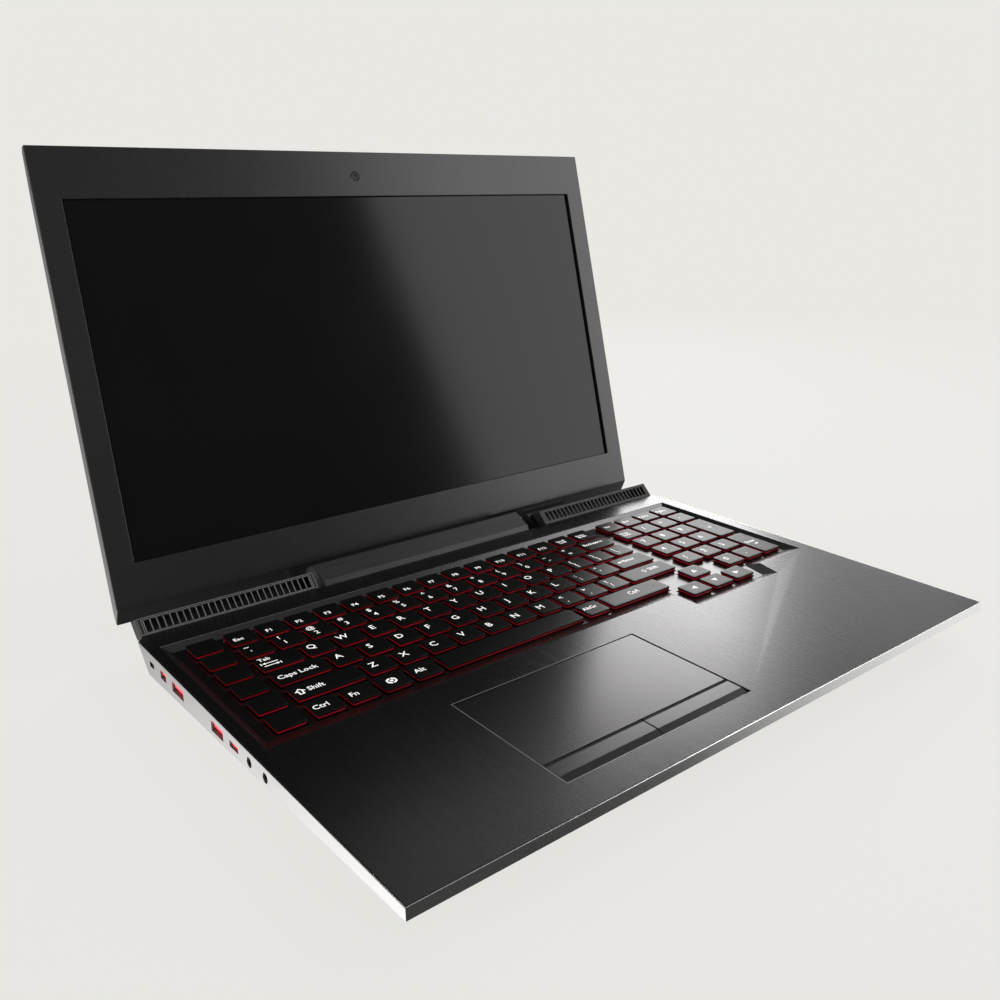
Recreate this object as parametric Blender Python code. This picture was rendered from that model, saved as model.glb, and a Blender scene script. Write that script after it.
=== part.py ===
"""Laptop computer, 17 inch class, open at rest.

The model is written in millimetres in a working frame that suits the design:
x runs from the left side (0) to the right side (WIDTH), y from the front edge
(0) to the rear, z is 0 on the palm-rest deck.  to_world() turns that into
metres with the origin at the bottom centre of the whole open computer.
"""

import math

import bmesh
import bpy
from mathutils import Matrix, Vector

# ---------------------------------------------------------------- dimensions
WIDTH = 413.3            # body width
SIDE_DEPTH = 282.2       # silver side panel, front edge to rear corner
DECK_DEPTH = 285.7       # deck plate, front edge to rear edge
DECK_HEIGHT = 24.5       # deck above the table
SIDE_FRONT = 5.9         # side panel height at the front edge
SIDE_TAPER = 0.033       # extra side height per mm of depth
SIDE_REAR_Y = 268.4      # where the side panel's lower edge ends
WALL = 2.0
GAP = 0.3
UNDERSIDE = -21.5

AXIS_Y = 297.5           # lid hinge axis
AXIS_Z = -14.7
LID_ANGLE = 104.16       # opening angle at rest
LID_FACE = 16.16         # screen-side face of the lid above the axis, closed
LID_HEEL = 23.96         # lower edge of that face in front of the axis, closed
LID_INSET = 1.3
LID_HEIGHT = 271.5
SCREEN_W = 381.9         # visible screen, 16:9, 17.3 inch diagonal
SCREEN_H = 214.8
SCREEN_V = 26.3          # lower edge of the opening above the lid's lower edge
CAMERA_V = 254.8
BEZEL = 2.0

TRAY = (7.0, 131.0, 403.4, 266.7)      # keyboard recess at deck level
TRAY_FLOOR = -3.2
TRAY_SLOPE = 4.8
TRAY_RAMP = 10.0
NOTCH = (277.0, 112.0, 355.5, 361.0)   # arrow key bay: left, front, right, right at the back
KEY_W = 15.7
KEY_D = 16.0
KEY_TOP = -0.25
PITCH = 19.2
ROWS = (143.3, 163.9, 184.6, 204.5, 224.3, 244.0)
ARROW_Y = 123.8
PAD = (94.1, 20.9, 217.8, 109.2)
PAD_SPLIT_Y = 38.1
PAD_SPLIT_X = 155.8

VENT = ((3.6, 112.6), (298.5, 409.7))  # the two rear vent blocks, left and right
SLOT_LEFT = (113.1, 116.5)             # hinge arms
SLOT_RIGHT = (285.0, 295.0)
HOUSING = (117.0, 283.0)
FAN_X = (52.0, 361.3)
FAN_Y = 238.0

# rear-most point of the open lid sets the middle of the whole object
LID_REAR_V, LID_REAR_W = 268.0, 6.0
_c, _s = math.cos(math.radians(LID_ANGLE)), math.sin(math.radians(LID_ANGLE))


def opened(y, z):
    """A point of the closed lid, turned to the rest angle about the hinge."""
    dy, dz = y - AXIS_Y, z - AXIS_Z
    return AXIS_Y + dy * _c + dz * _s, AXIS_Z - dy * _s + dz * _c


LID_EDGE_Y = AXIS_Y - LID_HEEL         # closed lid: y of the face's lower edge
LID_FACE_Z = AXIS_Z + LID_FACE         # closed lid: z of the face
REAR_Y = opened(LID_EDGE_Y - LID_REAR_V, LID_FACE_Z + LID_REAR_W)[0]
MID = Vector((WIDTH / 2, REAR_Y / 2, -DECK_HEIGHT))


def to_world(x, y, z):
    return (Vector((x, y, z)) - MID) * 0.001


def side_z(y):
    """Height of the side panel's lower edge."""
    return -SIDE_FRONT - SIDE_TAPER * y


# ------------------------------------------------------------------- helpers
for old in list(bpy.data.objects):
    bpy.data.objects.remove(old, do_unlink=True)
scene = bpy.context.scene
parts = bpy.data.collections.new("laptop_computer")
tools = bpy.data.collections.new("cutters")
scene.collection.children.link(parts)
scene.collection.children.link(tools)
tools.hide_render = True

MATERIALS = {}


def material(name, colour, rough, metal=0.0):
    if name not in MATERIALS:
        mat = bpy.data.materials.new(name)
        mat.use_nodes = True
        bsdf = mat.node_tree.nodes["Principled BSDF"]
        bsdf.inputs["Base Color"].default_value = (*colour, 1)
        bsdf.inputs["Roughness"].default_value = rough
        bsdf.inputs["Metallic"].default_value = metal
        MATERIALS[name] = mat
    return MATERIALS[name]


FINISH = {
    "silver": ((0.62, 0.62, 0.63), 0.35, 1.0),
    "deck": ((0.045, 0.044, 0.045), 0.38, 0.9),
    "black": ((0.02, 0.02, 0.02), 0.5, 0.0),
    "lid": ((0.05, 0.05, 0.052), 0.4, 0.6),
    "bezel": ((0.03, 0.03, 0.03), 0.35, 0.0),
    "screen": ((0.012, 0.012, 0.013), 0.08, 0.0),
    "glass": ((0.01, 0.01, 0.015), 0.05, 0.0),
    "key": ((0.012, 0.014, 0.012), 0.45, 0.0),
    "port": ((0.05, 0.05, 0.05), 0.4, 0.3),
    "red": ((0.75, 0.03, 0.06), 0.45, 0.0),
    "steel": ((0.55, 0.55, 0.56), 0.3, 1.0),
    "copper": ((0.72, 0.32, 0.16), 0.3, 1.0),
    "alu": ((0.6, 0.6, 0.6), 0.4, 1.0),
    "board": ((0.02, 0.12, 0.06), 0.5, 0.0),
    "cell": ((0.03, 0.03, 0.035), 0.6, 0.0),
    "rubber": ((0.015, 0.015, 0.015), 0.9, 0.0),
}


def new_object(name, mesh, where, centre=None, smooth=False):
    """Object from a mesh in working millimetres; its origin goes to centre."""
    centre = Vector(centre) if centre is not None else Vector((WIDTH / 2, 0, 0))
    mesh.transform(Matrix.Translation(-centre))
    mesh.transform(Matrix.Scale(0.001, 4))
    obj = bpy.data.objects.new(name, mesh)
    where.objects.link(obj)
    obj.location = to_world(*centre)
    if smooth:
        mesh.shade_smooth()
        mesh.set_sharp_from_angle(angle=math.radians(35))
    return obj


def mesh_from(bm, name):
    bmesh.ops.recalc_face_normals(bm, faces=bm.faces[:])
    mesh = bpy.data.meshes.new(name)
    bm.to_mesh(mesh)
    bm.free()
    return mesh


def add_box(bm, x0, x1, y0, y1, z0, z1, turn=None):
    matrix = Matrix.Translation(((x0 + x1) / 2, (y0 + y1) / 2, (z0 + z1) / 2))
    matrix = matrix @ Matrix.Diagonal((x1 - x0, y1 - y0, z1 - z0, 1))
    if turn is not None:
        matrix = turn @ matrix
    bmesh.ops.create_cube(bm, size=1.0, matrix=matrix)


def boxes(*items):
    bm = bmesh.new()
    for item in items:
        add_box(bm, *item)
    return mesh_from(bm, "boxes")


def add_hull(bm, points):
    """Convex body round the given points."""
    verts = [bm.verts.new(p) for p in points]
    made = bmesh.ops.convex_hull(bm, input=verts)
    loose = [v for v in made["geom_interior"] if isinstance(v, bmesh.types.BMVert)]
    if loose:
        bmesh.ops.delete(bm, geom=loose, context="VERTS")


def hulls(*groups):
    bm = bmesh.new()
    for points in groups:
        add_hull(bm, points)
    bmesh.ops.dissolve_limit(
        bm, angle_limit=math.radians(0.5), verts=bm.verts[:], edges=bm.edges[:]
    )
    return mesh_from(bm, "hull")


def rod(x, y, z0, z1, r, sides=24, axis="Z"):
    """Round bar between z0 and z1, or along X or Y when axis says so."""
    bm = bmesh.new()
    add_rod(bm, x, y, z0, z1, r, sides, axis)
    return mesh_from(bm, "rod")


def add_rod(bm, a, b, c0, c1, r, sides=24, axis="Z"):
    length, mid = c1 - c0, (c0 + c1) / 2
    if axis == "Z":
        matrix = Matrix.Translation((a, b, mid))
    elif axis == "X":
        matrix = Matrix.Translation((mid, a, b)) @ Matrix.Rotation(math.pi / 2, 4, "Y")
    else:
        matrix = Matrix.Translation((a, mid, b)) @ Matrix.Rotation(math.pi / 2, 4, "X")
    bmesh.ops.create_cone(
        bm, cap_ends=True, segments=sides, radius1=r, radius2=r, depth=length, matrix=matrix
    )


def prism(outline, x0, x1):
    """A (y, z) outline given thickness from x0 to x1, from a filled 2D curve."""
    curve = bpy.data.curves.new("outline", "CURVE")
    curve.dimensions = "2D"
    curve.fill_mode = "BOTH"
    curve.extrude = (x1 - x0) / 2
    spline = curve.splines.new("POLY")
    spline.points.add(len(outline) - 1)
    for point, (y, z) in zip(spline.points, outline):
        point.co = (y, z, 0, 1)
    spline.use_cyclic_u = True
    guide = bpy.data.objects.new("outline", curve)
    tools.objects.link(guide)
    bpy.context.view_layer.update()
    graph = bpy.context.evaluated_depsgraph_get()
    mesh = bpy.data.meshes.new_from_object(guide.evaluated_get(graph))
    bpy.data.objects.remove(guide, do_unlink=True)
    bpy.data.curves.remove(curve)
    bm = bmesh.new()
    bm.from_mesh(mesh)
    bpy.data.meshes.remove(mesh)
    bmesh.ops.remove_doubles(bm, verts=bm.verts[:], dist=1e-4)
    # curve axes (x, y, thickness) become (y, z, x) of the working frame
    matrix = Matrix(((0, 0, 1, (x0 + x1) / 2), (1, 0, 0, 0), (0, 1, 0, 0), (0, 0, 0, 1)))
    bmesh.ops.transform(bm, matrix=matrix, verts=bm.verts[:])
    return mesh_from(bm, "prism")


def cutter(mesh, name):
    obj = new_object("cut_" + name, mesh, tools)
    obj.hide_render = True
    obj.display_type = "WIRE"
    return obj


def boolean(obj, mesh, operation="DIFFERENCE"):
    tool = cutter(mesh, obj.name)
    mod = obj.modifiers.new(operation.lower(), "BOOLEAN")
    mod.operation = operation
    mod.solver = "EXACT"
    mod.object = tool
    return mod


def part(name, mesh, finish, cuts=(), joins=(), smooth=False, centre=None):
    obj = new_object(name, mesh, parts, centre=centre, smooth=smooth)
    obj.data.materials.append(material(finish, *FINISH[finish]))
    for item in joins:
        boolean(obj, item, "UNION")
    for item in cuts:
        boolean(obj, item)
    return obj


# ------------------------------------------------------------- outer shells
side_outline = [
    (0, 0), (SIDE_DEPTH, 0), (SIDE_REAR_Y, side_z(SIDE_REAR_Y)), (0, side_z(0)),
]
# left side sockets: name, centre y, centre z, width along y, height
LEFT_PORTS = {
    "lock": (261.3, -6.4, 6.6, 3.0),
    "port_display_small": (244.0, -6.3, 8.3, 5.0),
    "port_display_large": (223.0, -6.4, 16.0, 5.8),
    "port_type_a_left": (171.4, -6.1, 14.4, 5.6),
    "port_type_c": (151.6, -5.6, 10.0, 3.4),
}
LEFT_JACKS = {"audio_jack_rear": (134.4, -5.5), "audio_jack_front": (117.4, -5.2)}
RIGHT_PORTS = {
    "network_socket": (236.0, -7.2, 12.4, 7.6),
    "port_type_a_right": (206.0, -6.3, 14.4, 5.6),
}
POWER_INLET = (262.0, -7.2)
POWER_KEY = (60.0, -4.3, 10.0, 2.6)
JACK_R = 2.6
PORT_DEPTH = 8.6

frame_cuts = [
    boxes((WALL, WIDTH - WALL, WALL, 320, -40, 20)),
    boxes((0.5, WIDTH - 0.5, 0.5, 320, -1.5, 20)),
    boxes(*[(-5, 5, y - w / 2, y + w / 2, z - h / 2, z + h / 2)
            for y, z, w, h in LEFT_PORTS.values()]),
    boxes(*[(WIDTH - 5, WIDTH + 5, y - w / 2, y + w / 2, z - h / 2, z + h / 2)
            for y, z, w, h in list(RIGHT_PORTS.values()) + [POWER_KEY]]),
]
bm = bmesh.new()
for y, z in LEFT_JACKS.values():
    add_rod(bm, y, z, -5, 5, JACK_R, 20, "X")
add_rod(bm, *POWER_INLET, WIDTH - 5, WIDTH + 5, 3.9, 20, "X")
frame_cuts.append(mesh_from(bm, "round_ports"))
part("side_frame", prism(side_outline, 0, WIDTH), "silver", cuts=frame_cuts)


def ring(inset, y0, y1, drop=0.0, level=None):
    """Four corners of a horizontal or side-following ring."""
    out = []
    for x in (inset, WIDTH - inset):
        for y in (y0, y1):
            out.append((x, y, side_z(y) - drop if level is None else level))
    return out


EARS = (VENT[0], VENT[1])
ear_outer, ear_inner = [], []
for side, (x0, x1) in enumerate(EARS):
    outer_x, inner_x = (x0 + 0.2, x1) if side == 0 else (x1 - 0.2, x0)
    step = 1 if side == 0 else -1
    ear_outer.append(
        [(outer_x, 262, -16.0), (outer_x, 284.0, -16.0), (outer_x, 294.6, -5.3),
         (outer_x, 262, -5.3), (outer_x + 15 * step, 258, UNDERSIDE),
         (outer_x + 15 * step, 279.0, UNDERSIDE), (inner_x, 258, UNDERSIDE),
         (inner_x, 279.0, UNDERSIDE), (inner_x, 294.6, -5.3), (inner_x, 262, -5.3)]
    )
    a, b = outer_x + 1.6 * step, inner_x - 1.6 * step
    ear_inner.append(
        [(a, 240, -15.4), (a, 283.0, -15.4), (a, 292.2, 4.0), (a, 240, 4.0),
         (a + 13.6 * step, 240, UNDERSIDE + 1.6), (a + 13.6 * step, 278.2, UNDERSIDE + 1.6),
         (b, 240, UNDERSIDE + 1.6), (b, 278.2, UNDERSIDE + 1.6), (b, 292.2, -4.0),
         (b, 292.2, 4.0), (b, 240, 4.0), (a, 292.2, -6.0)]
    )
centre_outer = [
    (x, y, z) for x in (VENT[0][1] - 3, VENT[1][0] + 3)
    for y, z in ((255, UNDERSIDE), (280.6, UNDERSIDE), (285.2, -17.0), (285.2, -1.8), (255, -1.8))
]
centre_inner = [
    (x, y, z) for x in (VENT[0][1] - 8, VENT[1][0] + 8)
    for y, z in ((240, UNDERSIDE + 1.6), (280.0, UNDERSIDE + 1.6), (283.6, -16.4), (283.6, 4), (240, 4))
]
main_outer = ring(0.4, 0.4, 268.0, drop=GAP) + ring(15.5, 42.0, 262.0, level=UNDERSIDE)
main_inner = (
    ring(2.5, 3.0, 275.0, level=6.0) + ring(2.5, 3.0, 275.0, drop=GAP)
    + ring(16.6, 43.2, 262.0, level=UNDERSIDE + 1.6) + [(16.6, 275, UNDERSIDE + 1.6),
                                                       (WIDTH - 16.6, 275, UNDERSIDE + 1.6)]
)
SCREWS = ((30.0, 60.0), (WIDTH - 30.0, 60.0), (130.0, 266.0), (WIDTH - 130.0, 266.0))
grille = []
for fx in FAN_X:
    for i in range(9):
        x = fx - 20 + 5 * i
        reach = math.sqrt(23.0 ** 2 - (x - fx) ** 2)
        grille.append((x - 1.3, x + 1.3, FAN_Y - reach, FAN_Y + reach, -30, -15.2 - 3.0))
exhaust = []
slope = Matrix.Translation((0, 286.8, -13.2)) @ Matrix.Rotation(math.radians(-45), 4, "X")
for x0, x1 in EARS:
    mid, count = (x0 + x1) / 2, 10
    for i in range(count):
        x = mid + (i - (count - 1) / 2) * 8.0
        exhaust.append((x - 3.0, x + 3.0, -6, 6, -4.0, 2.6, slope))
bm = bmesh.new()
for x, y in SCREWS:
    add_rod(bm, x, y, -30, -15, 1.6, 16)
screw_holes = mesh_from(bm, "holes")
bottom = part(
    "bottom_cover", hulls(main_outer), "black",
    joins=[hulls(ear_outer[0], ear_outer[1]), hulls(centre_outer)],
    cuts=[hulls(main_inner), hulls(ear_inner[0], ear_inner[1]), hulls(centre_inner),
          boxes(*grille), boxes(*exhaust), screw_holes],
)

# keyboard layout -------------------------------------------------------------


def run(start, widths, y, gap=3.5, depth=KEY_D):
    """Keys side by side: (x0, x1, y0, y1) for each width."""
    keys, x = [], start
    for width in widths:
        keys.append((x, x + width, y, y + depth))
        x += width + gap
    return keys


STEP = PITCH - KEY_W
R0, R1, R2, R3, R4, R5 = ROWS
NUM_X = [324.5 + 18.95 * i for i in range(4)]
KEYS = {
    "keys_macro": [(18.2, 18.2 + KEY_W, y, y + KEY_D) for y in ROWS],
    "keys_function": [(39.2 + 18.4 * i, 54.4 + 18.4 * i, R5, R5 + KEY_D) for i in range(15)],
    "keys_number": run(39.2, [KEY_W] * 13 + [312.0 - 288.8], R4, STEP),
    "keys_upper": [(39.2, 63.0, R3, R3 + KEY_D)]
    + run(66.5, [KEY_W] * 12 + [312.0 - 296.9], R3, STEP),
    "keys_home": [(39.2, 68.7, R2, R2 + KEY_D)]
    + run(72.2, [KEY_W] * 11 + [312.0 - 283.4], R2, STEP),
    "keys_lower": [(39.2, 77.6, R1, R1 + KEY_D)]
    + run(81.1, [KEY_W] * 10 + [312.0 - 273.1], R1, STEP),
    "keys_bottom_left": run(39.2, [KEY_W] * 4, R0, STEP),
    "space_bar": [(116.0, 211.5, R0, R0 + KEY_D)],
    "keys_bottom_right": [(217.0, 232.7, R0, R0 + KEY_D), (236.4, 285.0, R0, R0 + KEY_D)],
    "keys_arrow": [(287.3, 304.0, ARROW_Y, ARROW_Y + 15.6), (307.9, 324.6, ARROW_Y, ARROW_Y + 15.6),
                   (328.5, 345.2, ARROW_Y, ARROW_Y + 15.6), (307.9, 324.6, R0, R0 + KEY_D)],
    "keys_number_pad": [(x, x + KEY_W, y, y + KEY_D) for y in (R5, R4) for x in NUM_X]
    + [(x, x + KEY_W, y, y + KEY_D) for y in (R3, R2, R1) for x in NUM_X[:3]]
    + [(x, x + KEY_W, R0, R0 + KEY_D) for x in NUM_X[1:3]]
    + [(NUM_X[3], NUM_X[3] + KEY_W, R2, R3 + KEY_D), (NUM_X[3], NUM_X[3] + KEY_W, R0, R1 + KEY_D)],
}

# deck -----------------------------------------------------------------------
tx0, ty0, tx1, ty1 = TRAY
nx0, ny0, nx1, nxb = NOTCH


def tray_hull(grow, top, floor, notch=False):
    if notch:
        high = [(nx0 - grow, ny0 - grow), (nx1 + grow, ny0 - grow),
                (nxb + grow, ty0 + 4), (nx0 - grow, ty0 + 4)]
        low = [(nx0 + 5 - grow, ny0 + 9 - grow), (nx1 - 4.5 + grow, ny0 + 9 - grow),
               (nxb - 4.5 + grow, ty0 + 16), (nx0 + 5 - grow, ty0 + 16)]
    else:
        high = [(tx0 - grow, ty0 - grow), (tx1 + grow, ty0 - grow),
                (tx1 + grow, ty1 + grow), (tx0 - grow, ty1 + grow)]
        s = TRAY_SLOPE - grow
        low = [(tx0 + s, ty0 + TRAY_RAMP - grow), (tx1 - s, ty0 + TRAY_RAMP - grow),
               (tx1 - s, ty1 - s), (tx0 + s, ty1 - s)]
    return [(x, y, top) for x, y in high] + [(x, y, floor) for x, y in low]


def raised(points, top):
    """The same recess, carried straight up past the deck so that it cuts clean."""
    return points + [(x, y, top) for x, y, z in points if z == 0]


deck_outline = hulls(
    [(x, y, z) for z in (-1.2, 0.0) for x, y in (
        (0.8, 0.8), (WIDTH - 0.8, 0.8), (WIDTH - 0.8, 281.9), (WIDTH - 3.6, DECK_DEPTH),
        (3.6, DECK_DEPTH), (0.8, 281.9))]
)
key_holes = []
for keys in KEYS.values():
    for x0, x1, y0, y1 in keys:
        key_holes.append((x0 - 0.35, x1 + 0.35, y0 - 0.35, y1 + 0.35, -12, 6))
part(
    "palmrest_deck", deck_outline, "deck",
    joins=[hulls(tray_hull(1.2, -0.9, TRAY_FLOOR - 1.0)),
           hulls(tray_hull(1.2, -0.9, TRAY_FLOOR - 1.0, True))],
    cuts=[hulls(raised(tray_hull(0, 0, TRAY_FLOOR), 3)),
          hulls(raised(tray_hull(0, 0, TRAY_FLOOR, True), 3)),
          boxes(*key_holes),
          boxes((PAD[0], PAD[2], PAD[1], PAD[3], -6, 6))],
)

# key groups: the caps of a group are joined by a web under the tray floor
WEB_TOP, WEB_LOW = -5.2, -6.2
TRAVEL = 1.5
WEBS = {"keys_arrow": [(289.3, 343.2, ARROW_Y + 3, ARROW_Y + 12.6), (310, 322.5, ARROW_Y + 5, R0 + 13)],
        "keys_number_pad": [(NUM_X[0] + 2, NUM_X[3] + 13.7, R1 + 2, R5 + 14),
                            (NUM_X[1] + 2, NUM_X[3] + 13.7, R0 + 2, R1 + 5)],
        "keys_macro": [(20.2, 31.9, R0 + 2, R5 + 14)]}
for name, keys in KEYS.items():
    x0 = min(k[0] for k in keys)
    x1 = max(k[1] for k in keys)
    y0 = min(k[2] for k in keys)
    y1 = max(k[3] for k in keys)
    caps = boxes(*[(a, b, c, d, WEB_LOW + 0.25, KEY_TOP) for a, b, c, d in keys])
    joins = []
    if len(keys) > 1:
        webs = WEBS.get(name, [(x0 + 2, x1 - 2, y0 + 3, y1 - 3)])
        joins = [boxes((*web, WEB_LOW, WEB_TOP)) for web in webs]
    part(name, caps, "key", joins=joins, centre=((x0 + x1) / 2, (y0 + y1) / 2, KEY_TOP))

part("keyboard_backplate", boxes((14.5, 398.5, 122, 262, -9.4, -8.6)), "steel",
     cuts=[boxes(*[(x - 4, x + 4, 168, 178, -12, -6) for x in (60, 150, 250, 350)])])

# touch pad and its two buttons ------------------------------------------------
px0, py0, px1, py1 = PAD
g = 0.6
part("touch_pad", boxes((px0 + g, px1 - g, PAD_SPLIT_Y + 0.4, py1 - g, -1.6, -0.3)), "deck")
part("touch_pad_board", boxes((px0 + 6, px1 - 6, PAD_SPLIT_Y + 6, py1 - 5, -3.1, -1.95)), "board",
     joins=[boxes((px0 + 40, px0 + 60, 60, 75, -4.4, -2.6))])


def pad_button(name, x0, x1):
    """Button with a long sloping front lip."""
    front, back = py0 + g, PAD_SPLIT_Y - 0.4
    outline = [(front, -1.5), (front + 5.5, -0.3), (back, -0.3), (back, -2.4), (front, -2.4)]
    part(name, prism(outline, x0, x1), "deck", centre=((x0 + x1) / 2, (front + back) / 2, -0.3))


pad_button("touch_pad_button_left", px0 + g, PAD_SPLIT_X - 0.3)
pad_button("touch_pad_button_right", PAD_SPLIT_X + 0.3, px1 - g)

# rear vent blocks ---------------------------------------------------------------
FOOT_Y, RIDGE, TAIL = 286.2, (294.6, 8.2), (304.4, 3.0)
vent_outline = [(FOOT_Y, -4.9), (FOOT_Y, 0.3), RIDGE, TAIL, (296.0, -4.9)]
vent_inner = [(FOOT_Y + 1.3, -9), (FOOT_Y + 1.3, -0.3), (294.5, 6.5), (302.1, 2.4), (293.2, -9)]
lean = math.atan2(RIDGE[1] - 0.3, RIDGE[0] - FOOT_Y)
SLOTS = 27
for name, (x0, x1) in zip(("vent_block_left", "vent_block_right"), VENT):
    mid = Matrix.Translation((0, (FOOT_Y + RIDGE[0]) / 2, (0.3 + RIDGE[1]) / 2))
    face = mid @ Matrix.Rotation(lean, 4, "X")
    pitch = (x1 - x0 - 7.0) / SLOTS
    slots = []
    for i in range(SLOTS):
        x = x0 + 3.5 + pitch * (i + 0.5)
        slots.append((x - 1.35, x + 1.35, -4.0, 3.7, -4, 3, face))
    part(name, prism(vent_outline, x0, x1), "black",
         cuts=[prism(vent_inner, x0 + 1.3, x1 - 1.3), boxes(*slots)])

# hinge ---------------------------------------------------------------------------
housing = [(287.9, 2.6), (302.5, 9.4), (311.5, 4.5), (316.0, -6.0), (316.0, -16.0),
           (311.0, -21.4), (289.5, -21.4), (286.2, -17.5), (286.2, -1.6)]
part("hinge_housing", prism(housing, *HOUSING), "lid",
     cuts=[rod(AXIS_Y, AXIS_Z, HOUSING[0] - 5, HOUSING[1] + 5, 4.4, 24, "X")], smooth=False)

pivot = bpy.data.objects.new("lid_pivot", None)
parts.objects.link(pivot)
pivot.location = to_world(WIDTH / 2, AXIS_Y, AXIS_Z)
pivot.rotation_euler = (-math.radians(LID_ANGLE), 0, 0)


def lid_part(name, mesh, finish, cuts=(), joins=(), smooth=False):
    """Lid pieces are drawn closed and hang on the pivot, which opens them."""
    axis = (WIDTH / 2, AXIS_Y, AXIS_Z)
    obj = part(name, mesh, finish, cuts=cuts, joins=joins, smooth=smooth, centre=axis)
    tied = [obj] + [m.object for m in obj.modifiers if m.type == "BOOLEAN"]
    for item in tied:
        if item is not obj:
            shift = Vector(axis) - Vector((WIDTH / 2, 0, 0))
            item.data.transform(Matrix.Translation(-shift * 0.001))
        item.parent = pivot
        item.location = (0, 0, 0)
    return obj


def lid(v, w):
    """(v up the open lid, w out of the screen side) as closed (y, z)."""
    return LID_EDGE_Y - v, LID_FACE_Z - w


CHIN = (-8.6, -7.2)
CHIN_IN = (0.642, -0.767)


def chin(offset, along):
    """Point on the bent lower lip, offset into the sheet."""
    length = math.hypot(*CHIN)
    return (CHIN_IN[0] * offset + CHIN[0] / length * along,
            CHIN_IN[1] * offset + CHIN[1] / length * along)


lip = math.hypot(*CHIN)
bezel_outline = [lid(0, 0), lid(LID_HEIGHT, 0), lid(LID_HEIGHT, -BEZEL), lid(0.72, -BEZEL),
                 lid(*chin(BEZEL, lip)), lid(*CHIN)]
cover_outline = [lid(0.83, -BEZEL - GAP), lid(LID_HEIGHT, -BEZEL - GAP), lid(LID_HEIGHT, -4.0),
                 lid(LID_REAR_V, -LID_REAR_W), lid(240, -7.6), lid(150, -9.3), lid(20, -10),
                 lid(0, -10), lid(-5.3, -9.6), lid(*chin(BEZEL + GAP, 10.6))]
cover_inner = [lid(5, -1), lid(LID_HEIGHT - 2.4, -1), lid(LID_HEIGHT - 2.4, -3.2),
               lid(266.0, -4.4), lid(240, -6.2), lid(150, -7.9), lid(20, -8.6), lid(5, -8.6)]


def lid_box(x0, x1, v0, v1, w0, w1):
    y1, z1 = lid(v0, w0)
    y0, z0 = lid(v1, w1)
    return (x0, x1, y0, y1, min(z0, z1), max(z0, z1))


SCREEN_X = (WIDTH - SCREEN_W) / 2
opening = lid_box(SCREEN_X, WIDTH - SCREEN_X, SCREEN_V, SCREEN_V + SCREEN_H, -6, 4)
arm_notches = [lid_box(a - 0.5, b + 0.5, -14, -1.0, -14, -1.4) for a, b in (SLOT_LEFT, SLOT_RIGHT)]
arm_channels = [lid_box(a - 0.5, b + 0.5, -14, 8, -8.6, -0.5) for a, b in (SLOT_LEFT, SLOT_RIGHT)]
camera_y, camera_z = lid(CAMERA_V, 0)
lid_part("lid_bezel", prism(bezel_outline, LID_INSET, WIDTH - LID_INSET), "bezel",
         cuts=[boxes(opening), boxes(*arm_notches),
               rod(WIDTH / 2, camera_y, camera_z - 6, camera_z + 6, 3.2, 24)])
lid_part("lid_back_cover", prism(cover_outline, LID_INSET, WIDTH - LID_INSET), "lid",
         cuts=[prism(cover_inner, LID_INSET + 2.0, WIDTH - LID_INSET - 2.0), boxes(*arm_channels)])
lid_part("display_panel",
         boxes(lid_box(SCREEN_X - 4, WIDTH - SCREEN_X + 4, SCREEN_V - 4, SCREEN_V + SCREEN_H + 4,
                       -2.3, -4.6)), "screen")
bm = bmesh.new()
add_rod(bm, WIDTH / 2, camera_y, camera_z + 0.4, camera_z + 2.6, 2.8, 24)
webcam = mesh_from(bm, "webcam")
bm = bmesh.new()
add_rod(bm, WIDTH / 2, camera_y, camera_z - 2, camera_z + 0.9, 1.5, 20)
lid_part("webcam_module", webcam, "glass", smooth=True,
         joins=[boxes((WIDTH / 2 - 14, WIDTH / 2 + 14, camera_y - 3.4, camera_y + 3.4,
                       camera_z + 2.2 + 0.2, camera_z + 3.6))],
         cuts=[mesh_from(bm, "lens_well")])

arm_outline = [(252.0, 8.5 - 1.4), (286.9, 7.1), (286.9, -3.0), (293.4, -12.0), (297.5, -18.6),
               (301.4, -11.4), (293.8, 5.5), (291.0, 9.7), (252.0, 9.7)]
for name, (x0, x1), (s0, s1) in (
    ("hinge_arm_left", SLOT_LEFT, (SLOT_LEFT[1] - 1, HOUSING[0] + 32)),
    ("hinge_arm_right", SLOT_RIGHT, (HOUSING[1] - 32, SLOT_RIGHT[0] + 1)),
):
    lid_part(name, prism(arm_outline, x0, x1), "steel", smooth=False,
             joins=[rod(AXIS_Y, AXIS_Z, x0, x1, 5.4, 24, "X"),
                    rod(AXIS_Y, AXIS_Z, s0, s1, 4.0, 24, "X")])

# sockets ------------------------------------------------------------------------


def socket(name, y, z, width, height, right=False, tongue=0.28, finish="port"):
    """Metal shell open to the outside, with a contact tongue fixed at its back."""
    w, h = width / 2 - GAP, height / 2 - GAP
    a, b = 0.6, PORT_DEPTH
    wall = 0.45
    shell = (a, b, y - w, y + w, z - h, z + h)
    hollow = (a - 5, b - 1.2, y - w + wall, y + w - wall, z - h + wall, z + h - wall)
    thick = height * tongue
    lift = {"port_type_c": 0.0, "network_socket": height * 0.28}.get(name, height * 0.13)
    tip = (a + 1.2, b - 0.6, y - w * 0.78, y + w * 0.78, z + lift - thick / 2, z + lift + thick / 2)

    def place(box):
        return (WIDTH - box[1], WIDTH - box[0], *box[2:]) if right else box

    part(name, boxes(place(shell)), finish, cuts=[boxes(place(hollow))])
    if tongue:
        obj = bpy.data.objects[name]
        boolean(obj, boxes(place(tip)), "UNION")


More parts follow.
